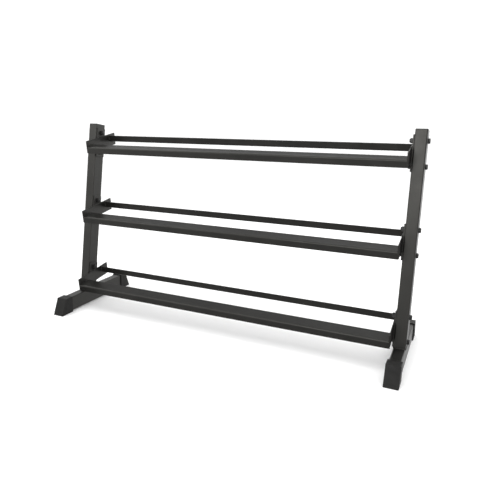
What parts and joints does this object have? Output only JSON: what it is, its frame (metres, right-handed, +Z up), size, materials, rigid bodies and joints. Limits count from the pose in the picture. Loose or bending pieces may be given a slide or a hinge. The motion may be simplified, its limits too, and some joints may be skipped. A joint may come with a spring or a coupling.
{
  "type": "dumbbell rack",
  "caption": "Free-standing rack: leaning tube side frames on rubber-booted feet carry tilted shelves, each a front and a rear folded angle rail, bolted between them.",
  "frame": {"origin": "on the floor, at the centre of the whole rack's footprint", "axes": "+Z up, +X along the shelves to the right as seen from the front, +Y to the rear"},
  "size_m": [1.76, 0.6214, 1.0018],
  "materials": {
    "frame_coat": "satin black powder coat, fine texture",
    "rail_coat": "satin black powder coat, fine texture",
    "plate_coat": "satin black powder coat, fine texture",
    "boot_rubber": "moulded matt black",
    "cap_plastic": "moulded matt black",
    "bolt_steel": "black oxide, oiled",
    "washer_steel": "black oxide, oiled"
  },
  "bodies": {
    "root": {"bottom_front_rail": "rail_coat", "bottom_left_end_plate": "plate_coat", "bottom_left_mount_plate": "plate_coat", "bottom_rear_rail": "rail_coat", "bottom_right_end_plate": "plate_coat", "bottom_right_mount_plate": "plate_coat", "left_bolts": "bolt_steel", "left_foot": "frame_coat", "left_front_boot": "boot_rubber", "left_head_washers": "washer_steel", "left_lock_nuts": "bolt_steel", "left_nut_washers": "washer_steel", "left_rear_boot": "boot_rubber", "left_upright": "frame_coat", "left_upright_cap": "cap_plastic", "middle_front_rail": "rail_coat", "middle_left_end_plate": "plate_coat", "middle_left_mount_plate": "plate_coat", "middle_rear_rail": "rail_coat", "middle_right_end_plate": "plate_coat", "middle_right_mount_plate": "plate_coat", "right_bolts": "bolt_steel", "right_foot": "frame_coat", "right_front_boot": "boot_rubber", "right_head_washers": "washer_steel", "right_lock_nuts": "bolt_steel", "right_nut_washers": "washer_steel", "right_rear_boot": "boot_rubber", "right_upright": "frame_coat", "right_upright_cap": "cap_plastic", "top_front_rail": "rail_coat", "top_left_end_plate": "plate_coat", "top_left_mount_plate": "plate_coat", "top_rear_rail": "rail_coat", "top_right_end_plate": "plate_coat", "top_right_mount_plate": "plate_coat"}
  },
  "joints": []
}
